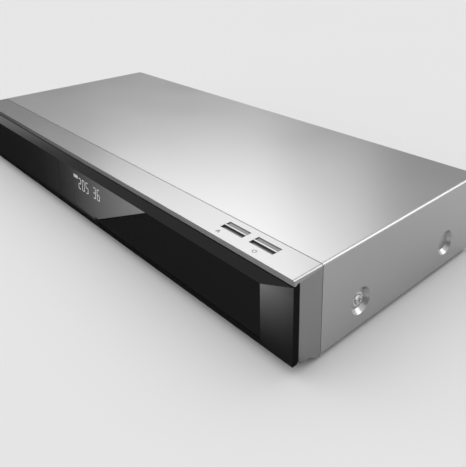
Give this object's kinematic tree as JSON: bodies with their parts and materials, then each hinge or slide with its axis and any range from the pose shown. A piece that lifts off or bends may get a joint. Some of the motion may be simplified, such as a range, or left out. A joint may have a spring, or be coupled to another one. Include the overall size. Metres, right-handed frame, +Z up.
{
  "type": "disc and hard-disk video recorder",
  "caption": "Slim silver and black home video recorder with a motor-driven disc tray, a drop-down front flap, a display window, top keys and a vented steel case.",
  "frame": {"origin": "on the floor under the feet, in the middle of the width and of the depth with the rear connectors", "axes": "+X the recorder's right side seen from the front, +Y to the back, +Z up"},
  "size_m": [0.43, 0.199, 0.059],
  "materials": {
    "silver_paint": "satin silver paint",
    "silver_plastic": "satin silver paint on plastic",
    "zinc_steel": "zinc-plated",
    "black_paint": "fine texture",
    "gloss_black": "high gloss",
    "smoked_acrylic": "high gloss, smoked",
    "black_plastic": "fine moulded grain",
    "rubber": "matte",
    "white_plastic": "smooth",
    "green_board": "solder mask",
    "tan_board": "paper laminate",
    "cast_alloy": "cast",
    "stamped_alloy": "satin",
    "motor_steel": "drawn",
    "bright_steel": "polished",
    "mirror_disk": "mirror",
    "dark_glass": "smooth",
    "lens_glass": "coated",
    "nickel_brass": "nickel-plated",
    "tape_yellow": "polyester tape",
    "sleeve_blue": "shrink sleeve",
    "ribbon_film": "film"
  },
  "bodies": {
    "case": {"top_cover": "silver_paint", "front_frame": "silver_plastic", "bottom_chassis": "zinc_steel", "hdd_bracket": "zinc_steel", "drive_lid": "zinc_steel", "tuner_cans": "zinc_steel", "front_usb_socket": "zinc_steel", "card_reader": "zinc_steel", "module_slot": "zinc_steel", "rear_sockets": "zinc_steel", "lan_socket": "zinc_steel", "rear_panel": "black_paint", "fascia_plate": "gloss_black", "display_window": "smoked_acrylic", "slot_panel": "black_plastic", "drive_base": "black_plastic", "fan_frame": "black_plastic", "ac_inlet": "black_plastic", "feet": "black_plastic", "tact_switches": "black_plastic", "main_chips": "black_plastic", "remote_sensor": "black_plastic", "foot_pads": "rubber", "loading_belt": "rubber", "main_board": "green_board", "key_board": "green_board", "display_board": "green_board", "hdd_board": "green_board", "power_board": "tan_board", "hdd_case": "cast_alloy", "hdd_cover": "stamped_alloy", "heat_sink": "stamped_alloy", "loading_motor": "motor_steel", "case_screws": "bright_steel", "display_tube": "dark_glass", "satellite_connectors": "nickel_brass", "transformer": "tape_yellow", "power_capacitors": "sleeve_blue", "ribbon_cables": "ribbon_film"},
    "open_key": {"open_button": "silver_plastic"},
    "power_key": {"power_button": "silver_plastic"},
    "flap": {"front_flap": "gloss_black", "flap_hinge_pins": "bright_steel"},
    "tray": {"disc_tray": "black_plastic", "tray_door": "gloss_black"},
    "first_gear": {"tray_gear": "white_plastic"},
    "second_gear": {"pulley_gear": "white_plastic"},
    "motor_shaft": {"motor_pulley": "white_plastic"},
    "clamper": {"disc_clamper": "black_plastic"},
    "traverse": {"traverse_plate": "zinc_steel", "spindle_motor": "motor_steel", "guide_rods": "bright_steel", "sled_motor": "motor_steel"},
    "spindle": {"turntable": "black_plastic"},
    "pickup": {"optical_pickup": "cast_alloy", "pickup_lens": "lens_glass"},
    "sled_screw": {"lead_screw": "bright_steel"},
    "platters": {"hdd_platters": "mirror_disk"},
    "head_arm": {"hdd_head_arm": "cast_alloy"},
    "fan": {"fan_rotor": "black_plastic"}
  },
  "joints": [
    {"name": "open_key_press", "type": "slide", "parent": "case", "child": "open_key", "axis": [0, 0, -1], "range_m": [0, 0.0008], "stiffness_N_per_m": 600, "springref_m": -0.0004},
    {"name": "power_key_press", "type": "slide", "parent": "case", "child": "power_key", "axis": [0, 0, -1], "range_m": [0, 0.0008], "stiffness_N_per_m": 600, "springref_m": -0.0004},
    {"name": "flap_hinge", "type": "hinge", "parent": "case", "child": "flap", "pos_m": [0.1, -0.0979, 0.0143], "axis": [1, 0, 0], "range_deg": [0, 90]},
    {"name": "tray_slide", "type": "slide", "parent": "case", "child": "tray", "axis": [0, -1, 0], "range_m": [0, 0.138]},
    {"name": "first_gear_spin", "type": "hinge", "parent": "case", "child": "first_gear", "pos_m": [-0.16, -0.0627, 0.027], "axis": [0, 0, 1], "range_deg": [0, 660]},
    {"name": "second_gear_spin", "type": "hinge", "parent": "case", "child": "second_gear", "pos_m": [-0.1432, -0.0627, 0.026], "axis": [0, 0, 1], "range_deg": [-1650, 0]},
    {"name": "motor_shaft_spin", "type": "hinge", "parent": "case", "child": "motor_shaft", "pos_m": [-0.115, -0.0627, 0.021], "axis": [0, 0, 1], "range_deg": [-3940, 0]},
    {"name": "clamper_spin", "type": "hinge", "parent": "case", "child": "clamper", "pos_m": [-0.119, -0.0217, 0.04], "axis": [0, 0, 1], "continuous": true},
    {"name": "traverse_tilt", "type": "hinge", "parent": "case", "child": "traverse", "pos_m": [-0.119, 0.0663, 0.0208], "axis": [1, 0, 0], "range_deg": [0, 4.5]},
    {"name": "spindle_spin", "type": "hinge", "parent": "traverse", "child": "spindle", "pos_m": [-0.119, -0.0217, 0.03], "axis": [0, 0, 1], "continuous": true},
    {"name": "pickup_slide", "type": "slide", "parent": "traverse", "child": "pickup", "axis": [0, 1, 0], "range_m": [0, 0.033]},
    {"name": "sled_screw_spin", "type": "hinge", "parent": "traverse", "child": "sled_screw", "pos_m": [-0.0877, 0.0223, 0.0258], "axis": [0, 1, 0], "range_deg": [0, 3961]},
    {"name": "platters_spin", "type": "hinge", "parent": "case", "child": "platters", "pos_m": [0.0168, -0.0197, 0.04], "axis": [0, 0, 1], "continuous": true},
    {"name": "head_arm_swing", "type": "hinge", "parent": "case", "child": "head_arm", "pos_m": [0.048, 0.0483, 0.04], "axis": [0, 0, 1], "range_deg": [0, 28]},
    {"name": "fan_spin", "type": "hinge", "parent": "case", "child": "fan", "pos_m": [-0.02, 0.0823, 0.032], "axis": [0, 1, 0], "continuous": true}
  ],
  "couplings": [
    {"joint": "first_gear_spin", "follows": "tray_slide", "rad_per_m": 83.333},
    {"joint": "second_gear_spin", "follows": "tray_slide", "rad_per_m": -208.33},
    {"joint": "motor_shaft_spin", "follows": "tray_slide", "rad_per_m": -497.69},
    {"joint": "sled_screw_spin", "follows": "pickup_slide", "rad_per_m": 2094.4}
  ]
}
